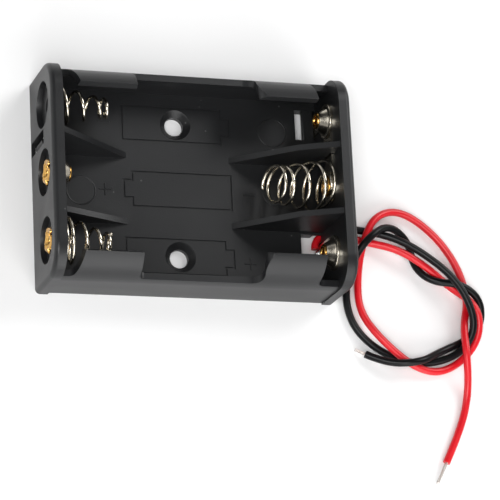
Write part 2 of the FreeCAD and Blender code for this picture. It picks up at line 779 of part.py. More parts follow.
def build_spring(label, side, lane, length, base_diameter, end_diameter, turns):
    """Conical compression spring; its wire has a many-sided section to keep the faces few."""
    wire_radius = number("Dim.spring_wire") / 2
    points = spring_path(
        number(length),
        number(base_diameter) / 2 - wire_radius,
        number(end_diameter) / 2 - wire_radius,
        *(number(count) for count in turns),
    )
    shell = Part.BRepOffsetAPI.MakePipeShell(Part.makePolygon(points))
    shell.setTransitionMode(MITRED)
    shell.add(ring(points[0], points[1] - points[0], wire_radius, int(number("Dim.spring_wire_sides"))))
    shell.build()
    shell.makeSolid()
    turned = FreeCAD.Rotation(Vector(0, 0, 1), 180 if side == "right" else 0)
    seat = vector(INNER_END if side == "right" else f"-{INNER_END}", lane, "Dim.contact_height")
    return add_feature(label, shell.shape(), FreeCAD.Placement(seat, turned))


def rounded_path(label, points, given_radii=()):
    """Straight runs joined by tangent arcs, of the radii given or as large as the runs allow."""
    edges = []
    radii = []
    cursor = points[0]
    for i, (before, corner, after) in enumerate(zip(points, points[1:], points[2:])):
        back, ahead = before - corner, after - corner
        half_turn = (math.pi - back.getAngle(ahead)) / 2
        reach = ARC_SHARE * min(back.Length, ahead.Length)
        if given_radii:
            reach = given_radii[i] * math.tan(half_turn)
        radii.append(reach / math.tan(half_turn))
        back.normalize()
        ahead.normalize()
        start, end = corner + back * reach, corner + ahead * reach
        centre_way = (back + ahead).normalize()
        centre = corner + centre_way * (radii[-1] / math.cos(half_turn))
        middle = centre - centre_way * radii[-1]
        edges.append(Part.LineSegment(cursor, start).toShape())
        edges.append(Part.Arc(start, middle, end).toShape())
        cursor = end
    edges.append(Part.LineSegment(cursor, points[-1]).toShape())
    path = Part.Wire(edges)
    print(f"{label}: length {path.Length:.1f}, radii {' '.join(f'{r:.1f}' for r in radii)}")
    return path


def build_lead(label, points, given_radii=()):
    """Lead along a rounded path; its section is many-sided to keep the faces few."""
    path = rounded_path(label, points, given_radii)
    radius, sides = number("Dim.lead_diameter") / 2, int(number("Dim.lead_sides"))
    solid = path.makePipe(Part.Face(ring(points[0], points[1] - points[0], radius, sides)))
    expected = sides / 2 * radius**2 * math.sin(2 * math.pi / sides) * path.Length
    if abs(solid.Volume / expected - 1) > VOLUME_TOLERANCE:
        raise ValueError(f"{label}: volume {solid.Volume:.2f}, section times length {expected:.2f}")
    return add_feature(label, solid)


def build_tip(label, lead_points, length):
    """Bare core that goes on from a lead's free end."""
    along = (lead_points[-1] - lead_points[-2]).normalize()
    tip = doc.addObject("Part::Cylinder", label)
    tip.Label = label
    tip.setExpression("Radius", "Dim.lead_core_diameter / 2")
    tip.setExpression("Height", length)
    tip.Placement = FreeCAD.Placement(lead_points[-1], FreeCAD.Rotation(Vector(0, 0, 1), along))
    return tip


def build_solder(label, position, angle):
    """Cap of solder on a flat tag; the cap's axis is +X turned by the angle about Z."""
    body = new_body(label)
    profile = new_sketch(body, f"{label}Profile", "XY_Plane")
    height, radius = "Dim.solder_height", "(Dim.solder_diameter / 2)"
    cap_radius = f"(({radius} ^ 2 + {height} ^ 2) / (2 * {height}))"
    outline(profile, [("0", "0"), (height, "0", cap_radius, 1), ("0", radius)])
    revolve(body, f"{label}Turn", profile, "H_Axis")
    for axis, formula in zip("xyz", position):
        body.setExpression(f".Placement.Base.{axis}", formula)
    body.setExpression(".Placement.Rotation.Angle", f"{angle} deg")
    return body


# Routes of the free leads on the surface that the holder stands on

RED_START_X = f"({PLATE_FACE} - Dim.lead_diameter / 2 - Dim.eyelet_fit)"
RED_START_Y = f"({NEAR_TAIL_Y} + Dim.solder_diameter / 2)"
RED_ROUTE = [
    (27.0, -6.2, 0.80),
    (32.5, -7.2, 0.68),
    (38.0, -8.8, 2.40),
    (43.1, -11.6, 2.10),
    (47.6, -14.5, 0.40),
    (51.8, -18.7, 3.30),
    (52.4, -23.6, 2.00),
    (49.8, -27.7, 0.70),
    (44.8, -30.5, 0.70),
    (39.4, -29.6, 1.95),
    (33.7, -25.0, 2.40),
    (30.7, -19.8, 0.80),
    (30.7, -13.8, 0.80),
    (31.5, -8.0, 2.20),
    (34.0, -2.8, 2.60),
    (39.6, -1.2, 0.80),
    (45.5, -5.2, 0.70),
    (49.5, -10.8, 0.70),
    (51.1, -17.0, 0.66),
    (49.2, -22.2, 2.30),
    (48.9, -27.8, 3.90),
    (49.9, -33.9, 0.80),
    (48.1, -40.1, 0.70),
    (45.0, -46.1, 0.70),
]
BLACK_ROUTE = [
    (32.2, -5.1, 0.70),
    (37.8, -6.9, 2.60),
    (42.6, -9.7, 3.10),
    (47.2, -13.7, 3.90),
    (50.1, -18.1, 3.70),
    (51.2, -22.9, 3.00),
    (48.9, -26.8, 1.20),
    (43.8, -28.7, 0.75),
    (38.3, -28.5, 0.70),
    (33.0, -26.2, 0.70),
    (29.2, -22.2, 0.70),
    (28.2, -16.6, 0.80),
    (29.5, -11.0, 2.20),
    (32.4, -7.0, 4.20),
    (36.6, -4.4, 2.40),
    (40.7, -6.8, 0.70),
    (41.3, -11.4, 0.66),
    (44.2, -14.3, 1.75),
    (49.2, -14.6, 2.60),
    (53.0, -17.1, 1.90),
    (53.3, -21.6, 0.60),
    (49.8, -24.6, 0.70),
    (44.9, -26.7, 1.30),
    (40.1, -29.4, 4.10),
    (34.8, -29.2, 1.85),
    (31.3, -27.4, 0.90),
]


def route(points):
    return [Vector(*point) for point in points]


# Assembly

MID, FAR, NEAR = "0", "Dim.lane_pitch", "(-Dim.lane_pitch)"
ON_SPRING = "(Dim.plate_thickness + Dim.spring_wire)"
ON_BUTTON = "(Dim.plate_thickness + Dim.button_height)"

parts = [build_housing()]

parts.append(build_bridge("bridge_plate_left", "left", NEAR, MID))
bridge_right = build_bridge("bridge_plate_right", "right", MID, FAR)
add_tail(bridge_right, "bridge_plate_right", f"({FAR_WINDOW_Y} - Dim.tail_shift)")
add_foot(bridge_right, "bridge_plate_right", FAR_WINDOW_Y)
parts.append(bridge_right)
parts.append(build_terminal_far_left())
parts.append(build_terminal_near_right())

for name, side, lane in (
    ("mid_left", "left", MID),
    ("far_right", "right", FAR),
    ("near_right", "right", NEAR),
):
    parts.append(build_button(f"contact_{name}", side, lane))
    parts.append(build_eyelet(f"eyelet_{name}", side, lane, ON_BUTTON, "Dim.button_head_diameter"))
for name, side, lane in (("mid_right", "right", MID), ("near_left", "left", NEAR)):
    parts.append(build_eyelet(f"eyelet_{name}", side, lane, ON_SPRING, "Dim.spring_clamp_diameter"))

for name, side, lane, length, base, end, turns in (
    (
        "mid_right",
        "right",
        MID,
        "Dim.mid_spring_length",
        "Dim.mid_spring_base_diameter",
        "Dim.mid_spring_end_diameter",
        ("Dim.mid_spring_turns", "Dim.mid_spring_spiral_turns", "0"),
    ),
    (
        "far_left",
        "left",
        FAR,
        "Dim.end_spring_length",
        "Dim.far_spring_base_diameter",
        "Dim.end_spring_end_diameter",
        ("Dim.end_spring_turns", "0", "0"),
    ),
    (
        "near_left",
        "left",
        NEAR,
        "Dim.end_spring_length",
        "Dim.near_spring_base_diameter",
        "Dim.end_spring_end_diameter",
        ("Dim.end_spring_turns", "Dim.end_spring_spiral_turns", "Dim.near_spring_base_turns"),
    ),
):
    parts.append(build_spring(f"spring_{name}", side, lane, length, base, end, turns))

lead_end_height = f"({ON_TAG_HEIGHT} - Dim.solder_diameter / 2 - Dim.tag_gap)"
black_inner = [
    vector(f"-{SLOT_X}", SLOT_Y, lead_end_height),
    vector(f"-{SLOT_X}", SLOT_Y, "Dim.lead_height"),
    vector(CROSS_X, SLOT_Y, "Dim.lead_height"),
    vector(CROSS_X, f"-{BLACK_EXIT}", "Dim.lead_height"),
    vector(HALF_LENGTH, f"-{BLACK_EXIT}", "Dim.lead_height"),
]
black_free = [black_inner[-1]] + route(BLACK_ROUTE)
red_free = [
    vector(RED_START_X, RED_START_Y, "Dim.lead_height + Dim.lead_groove_clearance"),
    vector(RED_START_X, f"({RED_START_Y} + Dim.lead_bend_radius)", "Dim.lead_height"),
] + route(RED_ROUTE)
fold, bend = number("Dim.lead_fold_radius"), number("Dim.lead_bend_radius")
parts.append(build_lead("black_lead_inner", black_inner, (fold, bend, bend)))
parts.append(build_lead("black_lead", black_free))
parts.append(build_lead("red_lead", red_free))
parts.append(build_tip("black_lead_tip", black_free, "Dim.black_tip_length"))
parts.append(build_tip("red_lead_tip", red_free, "Dim.red_tip_length"))
red_joint = (PLATE_FACE, NEAR_TAIL_Y, "Dim.lead_height + Dim.lead_groove_clearance")
parts.append(build_solder("solder_red", red_joint, 180))
parts.append(build_solder("solder_black", (f"-{SLOT_X}", TAG_INNER, ON_TAG_HEIGHT), 270))

doc.recompute()

# Export, only where every object is sound

failed = [o.Label for o in doc.Objects if {"Invalid", "Error"} & set(o.State)]
failed += [p.Label for p in parts if p.Shape.isNull() or not p.Shape.isValid() or not p.Shape.Solids]
if failed:
    raise ValueError("not built: " + ", ".join(failed))
for part in parts:
    part.Shape.exportStep(f"parts/{part.Label}.step")
    print(f"{part.Label}: {len(part.Shape.Solids)} solid, {part.Shape.Volume:.2f} mm3")
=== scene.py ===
"""Looks of an open holder for three cylindrical cells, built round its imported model.

Lengths are in metres. X runs along the cells, Y across the three bays, Z up from the mounting face.
"""

import math

import bmesh
import bpy
import numpy as np
from mathutils import Matrix, Vector


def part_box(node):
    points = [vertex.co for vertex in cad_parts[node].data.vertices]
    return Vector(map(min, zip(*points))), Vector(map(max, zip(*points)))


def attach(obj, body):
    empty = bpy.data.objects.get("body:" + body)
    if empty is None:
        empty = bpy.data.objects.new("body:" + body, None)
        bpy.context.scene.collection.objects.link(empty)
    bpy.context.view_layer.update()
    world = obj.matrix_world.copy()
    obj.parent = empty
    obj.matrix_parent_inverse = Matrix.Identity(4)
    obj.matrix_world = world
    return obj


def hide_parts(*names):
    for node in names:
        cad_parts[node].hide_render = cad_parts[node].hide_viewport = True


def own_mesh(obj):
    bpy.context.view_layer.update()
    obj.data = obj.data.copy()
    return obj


bl_info = {
    "name": "Cylindrical Cell Holder",
    "version": (1, 0, 0),
    "blender": (4, 5, 0),
    "location": "3D View > Sidebar > Cell Holder",
    "description": "Moulded housing, contacts, springs, leads and stage of a three-cell holder",
    "category": "Add Mesh",
}

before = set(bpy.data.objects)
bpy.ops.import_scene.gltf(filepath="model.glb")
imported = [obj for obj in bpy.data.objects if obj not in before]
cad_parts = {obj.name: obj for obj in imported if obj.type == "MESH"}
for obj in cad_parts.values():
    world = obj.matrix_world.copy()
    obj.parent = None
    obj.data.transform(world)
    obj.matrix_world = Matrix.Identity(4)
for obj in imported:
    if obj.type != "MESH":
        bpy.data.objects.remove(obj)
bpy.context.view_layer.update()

MM = 0.001
HOLDER = "holder"
LANES = {"far": 11.8 * MM, "mid": 0.0, "near": -11.8 * MM}
WALL = 24.2 * MM  # inner face of an end wall, from the middle
CONTACT_HEIGHT = 8.3 * MM
FLOOR_TOP = 2.0 * MM
EYELET_SHANK = 1.2 * MM  # radius
EYELET_BORE = 0.85 * MM
STEPS_PER_TURN = 40  # of a spring's wire


# Sizes and colours


def length(name, description, default):
    return bpy.props.FloatProperty(
        name=name, description=description, default=default, min=0, unit="LENGTH"
    )


def colour(name, description, default):
    return bpy.props.FloatVectorProperty(
        name=name, description=description, default=default, min=0, max=1, size=3, subtype="COLOR"
    )


class CellHolderSizes(bpy.types.PropertyGroup):
    """Sizes that a user would change."""

    edge_round: length("Edge rounding", "Rounding of the moulding's edges", 0.16 * MM)
    spring_wire: length("Spring wire", "Diameter of the springs' wire", 0.55 * MM)
    lead: length("Lead", "Diameter of a lead over its insulation", 1.3 * MM)
    strand: length("Strand", "Diameter of one strand of a lead's core", 0.19 * MM)
    mark_height: length("Mark height", "Height of the polarity signs above the floor", 0.12 * MM)


class CellHolderColours(bpy.types.PropertyGroup):
    """Colours that a user would change."""

    plastic: colour("Plastic", "Moulded housing", (0.0088, 0.0092, 0.0100))
    nickel: colour("Nickel", "Plated plates, buttons and springs", (0.80, 0.74, 0.62))
    brass: colour("Brass", "Eyelets", (0.80, 0.46, 0.13))
    red: colour("Red", "Insulation of the positive lead", (0.66, 0.004, 0.012))
    black: colour("Black", "Insulation of the negative lead", (0.0036, 0.0036, 0.0042))
    tin: colour("Tin", "Bare strands and solder", (0.72, 0.71, 0.70))
    ground: colour("Ground", "Floor of the stage", (0.90, 0.90, 0.90))


# Shader expressions

DUST_SIZE = 0.045  # of the spacing of the specks


class Signal:
    """A value in a shader; an expression on it adds its Math nodes."""

    def __init__(self, shader, socket):
        self.shader = shader
        self.socket = socket

    def _math(self, operation, first, second):
        return self.shader.node("ShaderNodeMath", {"operation": operation}, {0: first, 1: second})

    def __add__(self, other):
        return self._math("ADD", self, other)

    def __mul__(self, other):
        return self._math("MULTIPLY", self, other)

    def __sub__(self, other):
        return self._math("SUBTRACT", self, other)

    def __rsub__(self, other):
        return self._math("SUBTRACT", other, self)

    def __pow__(self, other):
        return self._math("POWER", self, other)

    def __lt__(self, other):
        return self._math("LESS_THAN", self, other)

    __radd__ = __add__
    __rmul__ = __mul__


class Shader:
    """A new material with one Principled surface, and one method that adds any other node."""

    def __init__(self, name, **fixed):
        self.material = bpy.data.materials.new(name)
        self.material.use_nodes = True
        self.tree = self.material.node_tree
        self.surface = self.tree.nodes["Principled BSDF"]
        self.set(**fixed)

    def set(self, **values):
        """Sets the surface's sockets, named in lower case with underscores."""
        for name, value in values.items():
            socket = name.replace("_", " ").title().replace("Ior", "IOR")
            self.feed(self.surface.inputs[socket], value)

    def feed(self, socket, value):
        """Links a signal to the socket, or sets the socket's own constant."""
        if isinstance(value, Signal):
            self.tree.links.new(value.socket, socket)
        elif socket.type == "RGBA" and len(value) == 3:
            socket.default_value = (*value, 1)
        else:
            socket.default_value = value

    def node(self, kind, settings, inputs, output=0):
        """Adds a node, sets it up, feeds its sockets and gives the signal of one output."""
        made = self.tree.nodes.new(kind)
        for key, value in settings.items():
            setattr(made, key, value)
        for key, value in inputs.items():
            self.feed(made.inputs[key], value)
        return Signal(self, made.outputs[output])

    def place(self, source="Object", scale=(1, 1, 1)):
        """Texture position, stretched where scale isn't 1."""
        position = self.node("ShaderNodeTexCoord", {}, {}, source)
        if scale == (1, 1, 1):
            return position
        return self.node("ShaderNodeMapping", {}, {"Vector": position, "Scale": scale})

    def noise(self, scale, detail, position=None):
        """Cloudy number from 0 to 1; scale is its spots in a metre."""
        inputs = {"Vector": position or self.place(), "Scale": scale, "Detail": detail}
        return self.node("ShaderNodeTexNoise", {}, inputs)

    def blend(self, factor, first, second):
        """Colour between two colours."""
        inputs = {0: factor, 6: first, 7: second}
        return self.node("ShaderNodeMix", {"data_type": "RGBA"}, inputs, 2)

    def between(self, factor, low, high):
        """Number between two numbers, as factor goes from 0 to 1."""
        return factor * (high - low) + low

    def bump(self, height, distance, strength):
        """Relief of the surface from a height that counts in steps of the distance."""
        inputs = {"Height": height, "Distance": distance, "Strength": strength}
        self.set(normal=self.node("ShaderNodeBump", {}, inputs))


class Sky(Shader):
    """The world's light, made by the same expressions."""

    def __init__(self, name):
        self.world = bpy.data.worlds.new(name)
        self.world.use_nodes = True
        self.tree = self.world.node_tree
        self.surface = self.tree.nodes["Background"]


def studio_sky(overhead, horizon, falloff):
    """White light of strength overhead + (horizon - overhead) (1 - height)^falloff."""
    sky = Sky("studio")
    height = sky.node("ShaderNodeSeparateXYZ", {}, {"Vector": sky.place("Generated")}, 2)
    sky.set(color=(1, 1, 1), strength=sky.between((1 - height) ** falloff, overhead, horizon))
    return sky.world


def tint(rgb, factor):
    """The colour, darker or lighter by a factor."""
    return tuple(min(channel * factor, 1.0) for channel in rgb)


def housing_plastic(rgb):
    """Dark moulded plastic: a fine satin grain, faint cloudy flow and a few specks of dust."""
    shader = Shader("housing_plastic", specular_ior_level=0.42)
    cloud = shader.noise(90, 3)
    grain = shader.noise(5200, 2)
    cells = shader.node("ShaderNodeTexVoronoi", {}, {"Vector": shader.place(), "Scale": 300})
    dust = DUST_SIZE > cells
    flow = shader.noise(140, 2, shader.place(scale=(0.25, 1, 1)))
    body = shader.blend(cloud, tint(rgb, 0.8), tint(rgb, 1.35))
    shader.set(
        base_color=shader.blend(dust * 0.4, body, (0.16, 0.16, 0.16)),
        roughness=shader.between(flow, 0.30, 0.50) + dust * 0.3,
    )
    shader.bump(grain + dust * 0.6, 0.02 * MM, 0.55)
    return shader.material


def nickel_plate(rgb):
    """Nickel-plated sheet: fine rolling lines along Z and a slight stain."""
    shader = Shader("nickel_plate", metallic=1.0)
    lines = shader.noise(2600, 3, shader.place(scale=(1, 1, 0.06)))
    stain = shader.noise(420, 3)
    shader.set(
        base_color=shader.blend(stain, tint(rgb, 0.74), tint(rgb, 1.08)),
        roughness=shader.between(lines, 0.14, 0.30),
    )
    shader.bump(lines, 0.006 * MM, 0.2)
    return shader.material


def spring_nickel(rgb):
    """Plated spring wire: bright, with fine drawing marks and a slow stain."""
    shader = Shader("spring_nickel", metallic=1.0)
    lines = shader.noise(2400, 3)
    stain = shader.noise(700, 2)
    shader.set(
        base_color=shader.blend(stain, tint(rgb, 0.82), tint(rgb, 1.12)),
        roughness=shader.between(lines, 0.10, 0.24),
    )
    shader.bump(lines, 0.006 * MM, 0.3)
    return shader.material


def eyelet_brass(rgb):
    """Brass with tarnish in cloudy patches."""
    shader = Shader("eyelet_brass", metallic=1.0)
    tarnish = shader.noise(1300, 4)
    scuff = shader.noise(5200, 2)
    shader.set(
        base_color=shader.blend(tarnish, tint(rgb, 0.40), tint(rgb, 1.20)),
        roughness=shader.between(tarnish, 0.30, 0.12),
    )
    shader.bump(scuff + tarnish, 0.02 * MM, 0.6)
    return shader.material


def insulation(name, rgb, low, high, shine):
    """Soft wire insulation: low gloss that varies along the wire, with faint handling marks."""
    shader = Shader(name, specular_ior_level=shine)
    cloud = shader.noise(260, 3)
    fingerprint = shader.noise(3800, 2)
    shader.set(
        base_color=shader.blend(cloud, tint(rgb, 0.82), tint(rgb, 1.12)),
        roughness=shader.between(cloud, low, high),
    )
    shader.bump(fingerprint + cloud, 0.02 * MM, 0.4)
    return shader.material


def tinned_copper(rgb):
    """Tinned strands with a little copper showing through."""
    shader = Shader("tinned_copper", metallic=1.0)
    wear = shader.noise(1900, 3)
    shader.set(
        base_color=shader.blend(wear * 0.5, rgb, (0.66, 0.44, 0.30)),
        roughness=shader.between(wear, 0.22, 0.40),
    )
    shader.bump(wear, 0.01 * MM, 0.4)
    return shader.material


def bright_solder(rgb):
    """Solder that froze bright, with slow ripples and small dull spots."""
    shader = Shader("bright_solder", metallic=1.0)
    ripple = shader.noise(1500, 2)
    shader.set(
        base_color=shader.blend(ripple, tint(rgb, 0.8), tint(rgb, 1.15)),
        roughness=shader.between(ripple, 0.16, 0.36),
    )
    shader.bump(ripple, 0.04 * MM, 0.6)
    return shader.material


def ground_paper(rgb):
    """Matt white ground with a barely visible tone."""
    shader = Shader("ground_paper")
    tone = shader.noise(9, 2)
    shader.set(
        base_color=shader.blend(tone, tint(rgb, 0.985), rgb),
        roughness=shader.between(tone, 0.75, 0.85),
    )
    return shader.material


# Shapes


def unit(vectors):
    """Vectors of length 1 in the same directions."""
    return vectors / np.linalg.norm(vectors, axis=-1, keepdims=True)


def soften(corners, reach, steps):
    """Each corner of a closed line becomes a parabola that starts and ends a reach away from it."""
    corner = np.array(corners, float)
    before = np.roll(corner, 1, 0) - corner
    after = np.roll(corner, -1, 0) - corner
    limit = 0.45 * np.minimum(np.linalg.norm(before, axis=1), np.linalg.norm(after, axis=1))
    reaches = np.minimum(limit, reach)[:, None]
    start, end = (corner + unit(way) * reaches for way in (before, after))
    t = np.linspace(0, 1, steps)[None, :, None]
    curve = (1 - t) ** 2 * start[:, None] + 2 * t * (1 - t) * corner[:, None] + t**2 * end[:, None]
    return curve.reshape(-1, corner.shape[1])


def grid_faces(rows, columns, close_rows=False, close_columns=False):
    """Quads of a grid of points numbered row by row."""
    row = np.arange(rows if close_rows else rows - 1)[:, None]
    column = np.arange(columns if close_columns else columns - 1)[None, :]
    next_row, next_column = (row + 1) % rows, (column + 1) % columns
    quads = [row * columns + column, row * columns + next_column]
    quads += [next_row * columns + next_column, next_row * columns + column]
    return np.stack(quads, -1).reshape(-1, 4)


def block(low, high, inset=0.0):
    """Box between two corners, whose top is smaller by the inset at each side."""
    share = np.array([(x, y, z) for z in (0, 1) for y in (0, 1) for x in (0, 1)])
    points = low + (high - low) * share
    points[4:, :2] += inset * (1 - 2 * share[4:, :2])
    faces = [(0, 2, 3, 1), (4, 5, 7, 6), (0, 1, 5, 4), (2, 6, 7, 3), (0, 4, 6, 2), (1, 3, 7, 5)]
    return points, faces


def joined(parts):
    """Points and faces of several parts as one."""
    points, faces = np.zeros((0, 3)), []
    for more, polygons in parts:
        faces += [tuple(i + len(points) for i in polygon) for polygon in polygons]
        points = np.vstack([points, more])
    return points, faces


def piece(name, points, faces, material, slot, replaces=(), angle=None):
    """Mesh object at the origin with its faces turned outwards."""
    mesh = bpy.data.meshes.new(name)
    mesh.from_pydata([tuple(p) for p in points], [], [tuple(int(i) for i in f) for f in faces])
    shell = bmesh.new()
    shell.from_mesh(mesh)
    bmesh.ops.remove_doubles(shell, verts=shell.verts, dist=1e-7)
    bmesh.ops.recalc_face_normals(shell, faces=shell.faces)
    shell.to_mesh(mesh)
    shell.free()
    return finished(name, mesh, material, replaces, angle)


def finished(name, mesh, material, replaces, angle):
    """Shades a mesh smooth, sharp at edges over the angle, and lets it ride on the holder."""
    mesh.materials.clear()
    mesh.materials.append(material)
    mesh.shade_smooth()
    if angle is not None:
        mesh.set_sharp_from_angle(angle=angle)
    made = bpy.data.objects.new(name, mesh)
    bpy.context.scene.collection.objects.link(made)
    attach(made, HOLDER)
    if replaces:
        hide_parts(*replaces)
    return made


def turned(profile, foot, side, petals=None, steps=72):
    """Surface of revolution about an axis along X.

    A profile point (x, r) goes to foot + (side x, r cos a, r sin a) as a runs round; petals may
    change x and r as a function of x, r and a.
    """
    angle = np.linspace(0, 2 * np.pi, steps, endpoint=False)[:, None]
    x, r = np.broadcast_arrays(*(np.array(profile)[None, :, i] + 0 * angle for i in (0, 1)))
    if petals:
        x, r = petals(x, r, angle)
    points = np.stack([side * x, r * np.cos(angle), r * np.sin(angle)], -1) + np.array(foot)
    return points.reshape(-1, 3), grid_faces(steps, len(profile), True, True)


def tube(path, radius, reference, sides=12):
    """Round tube along a path: a circle of the radius, square to the path at each of its points.

    The circle starts from the reference direction made square to the path. Fans close the ends.
    """
    along = unit(np.gradient(path, axis=0))
    across = unit(np.cross(along, np.broadcast_to(reference, path.shape)))
    up = np.cross(across, along)
    angle = np.linspace(0, 2 * np.pi, sides, endpoint=False)[None, :, None]
    rings = path[:, None] + radius * (across[:, None] * np.cos(angle) + up[:, None] * np.sin(angle))
    count = len(path) * sides
    points = np.vstack([rings.reshape(-1, 3), path[:1], path[-1:]])
    faces = [tuple(f) for f in grid_faces(len(path), sides, False, True)]
    last = count - sides
    faces += [(count, (i + 1) % sides, i) for i in range(sides)]
    faces += [(count + 1, last + i, last + (i + 1) % sides) for i in range(sides)]
    return points, faces


def seat_of(lane, side):
    """Place of a contact on its end wall; side is 1 at the left wall and -1 at the right one."""
    return -side * WALL, LANES[lane], CONTACT_HEIGHT


def hand_of(side):
    """The word for a side in the names of the nodes."""
    return "left" if side > 0 else "right"


def spring_line(wire, length, base, end, active, spiral, based, lean):
    """Centre line of a conical spring along +X from its seat.

    The radius goes along a flat spiral from the eyelet to the base, stays for the base turns, goes
    along a cone to the end and stays for the closed turns; x rises evenly over the open turns, and
    by one wire and a gap for each base or closed turn. The lean adds lean (base - z) s to x, so
    that the coils past the spiral face upwards; s goes from 0 to 1 along it as 3 t^2 - 2 t^3.
    """
    seat, closed, closed_pitch = 0.3 * MM + wire / 2, 1.25, wire + 0.4 * MM
    turns = spiral + based + active + closed
    turn = np.linspace(0, turns, int(turns * STEPS_PER_TURN))
    opened = np.clip((turn - spiral - based) / active, 0, 1)
    squeezed = (based + closed) * closed_pitch
    rise = length - seat - wire / 2 - squeezed - lean * (base + end)
    radius = base + (end - base) * opened
    if spiral:
        eye = EYELET_SHANK + 0.05 * MM + wire / 2
        radius = np.where(turn < spiral, eye + (base - eye) * turn / spiral, radius)
    close = np.clip(turn - spiral, 0, based) + np.maximum(turn - spiral - based - active, 0)
    angle = 2 * np.pi * turn
    y, z = radius * np.cos(angle), radius * np.sin(angle)
    t = np.clip(turn / max(spiral, 1.0), 0, 1)
    x = seat + rise * opened + closed_pitch * close + lean * (base - z) * (3 * t**2 - 2 * t**3)
    return np.stack([x, y, z], -1)


def wire_curve(name, route, material, diameter):
    """Open NURBS curve with the route as its control points, thickened to the wire's diameter."""
    data = bpy.data.curves.new(name, "CURVE")
    data.dimensions = "3D"
    data.bevel_depth = diameter / 2
    data.bevel_resolution = 5
    data.resolution_u = 10
    data.use_fill_caps = True
    spline = data.splines.new("NURBS")
    spline.points.add(len(route) - 1)
    for point, place in zip(spline.points, route):
        point.co = (*(c * MM for c in place), 1)
    spline.order_u = 3
    spline.use_endpoint_u = True
    data.materials.append(material)
    made = bpy.data.objects.new(name, data)
    bpy.context.scene.collection.objects.link(made)
    return made


# Operators


class Builder:
    """What the operators share."""

    @property
    def sizes(self):
        return bpy.context.scene.cell_holder_sizes

    @property
    def colours(self):
        return bpy.context.scene.cell_holder_colours


class CELLHOLDER_OT_housing(bpy.types.Operator, Builder):
    """Moulded housing with every edge rounded, and the bar that leaves a slot of its far window"""

    bl_idname = "cell_holder.housing"
    bl_label = "Housing"

    def execute(self, context):
        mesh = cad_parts["housing"].data.copy()
        mesh.name = "moulded_housing"
        shell = bmesh.new()
        shell.from_mesh(mesh)
        bmesh.ops.remove_doubles(shell, verts=shell.verts, dist=1e-6)
        flat = math.radians(1.0)
        bmesh.ops.dissolve_limit(shell, angle_limit=flat, verts=shell.verts, edges=shell.edges)
        bmesh.ops.recalc_face_normals(shell, faces=shell.faces)
        shell.to_mesh(mesh)
        shell.free()
        material = housing_plastic(self.colours.plastic)
        slot, sharp = "black_plastic", math.radians(32)
        self.round_edges(finished(mesh.name, mesh, material, ["housing"], sharp))
        low, high = (np.array(corner) * MM for corner in ((21.8, 10.2, 1.0), (23.85, 16.0, 1.96)))
        bar = piece("far_window_bar", *block(low, high), material, slot, angle=sharp)
        self.round_edges(bar)
        return {"FINISHED"}

    def round_edges(self, made):
        """Rounds the sharp edges and keeps the flat faces flat in the shading."""
        bevel = made.modifiers.new("edge_round", "BEVEL")
        bevel.width = self.sizes.edge_round
        bevel.segments = 2
        bevel.limit_method = "ANGLE"
        bevel.angle_limit = math.radians(38)
        bevel.use_clamp_overlap = True
        normals = made.modifiers.new("flat_faces", "WEIGHTED_NORMAL")
        normals.keep_sharp = True


class CELLHOLDER_OT_floor_marks(bpy.types.Operator, Builder):
    """Polarity signs and the round marks of the mould's pins on the floor"""

    bl_idname = "cell_holder.floor_marks"
    bl_label = "Floor marks"

    def execute(self, context):
        material, slot = bpy.data.materials["housing_plastic"], "black_plastic"
        strokes = []
        long, narrow = 2.2, 0.34
        for x, y, sign in (
            (-14.15, -0.3, "+"),
            (-14.0, 11.75, "-"),
            (11.4, -0.2, "-"),
            (11.1, -12.5, "+"),
        ):
            strokes.append(self.stroke(x, y, long, narrow))
            if sign == "+":
                strokes.append(self.stroke(x, y, narrow, long))
        piece("polarity_signs", *joined(strokes), material, slot, angle=math.radians(30))
        for i, (x, y) in enumerate(((-18.37, -0.71), (16.17, 11.39), (16.5, 0.5))):
            mark = self.pin_mark(x * MM, y * MM, 2.5 * MM, 0.26 * MM, 0.08 * MM)
            piece(f"pin_mark_{i}", *mark, material, slot, angle=math.radians(60))
        return {"FINISHED"}

    def stroke(self, x, y, wide, deep):
        """Low bar with sloping sides, its foot a little under the floor's top."""
        middle = np.array((x, y, 0)) * MM
        middle[2] = FLOOR_TOP - 0.02 * MM
        half = np.array((wide, deep, 0)) * MM / 2
        top = middle + half + np.array((0, 0, self.sizes.mark_height))
        return block(middle - half, top, inset=0.09 * MM)

    def pin_mark(self, x, y, radius, width, height):
        """Round ridge: it rises height sin t over its foot at radius - width / 2 cos t from (x, y).

        The parameter t goes from 0 to half a turn, from the ridge's inner foot to its outer one.
        """
        round_steps, ridge_steps = 72, 7
        t = np.linspace(0, np.pi, ridge_steps)[None, :]
        angle = np.linspace(0, 2 * np.pi, round_steps, endpoint=False)[:, None]
        r = radius - width / 2 * np.cos(t)
        z = FLOOR_TOP - 0.01 * MM + height * np.sin(t) + 0 * angle
        points = np.stack([x + r * np.cos(angle), y + r * np.sin(angle), z], -1)
        return points.reshape(-1, 3), grid_faces(round_steps, ridge_steps, True, False)


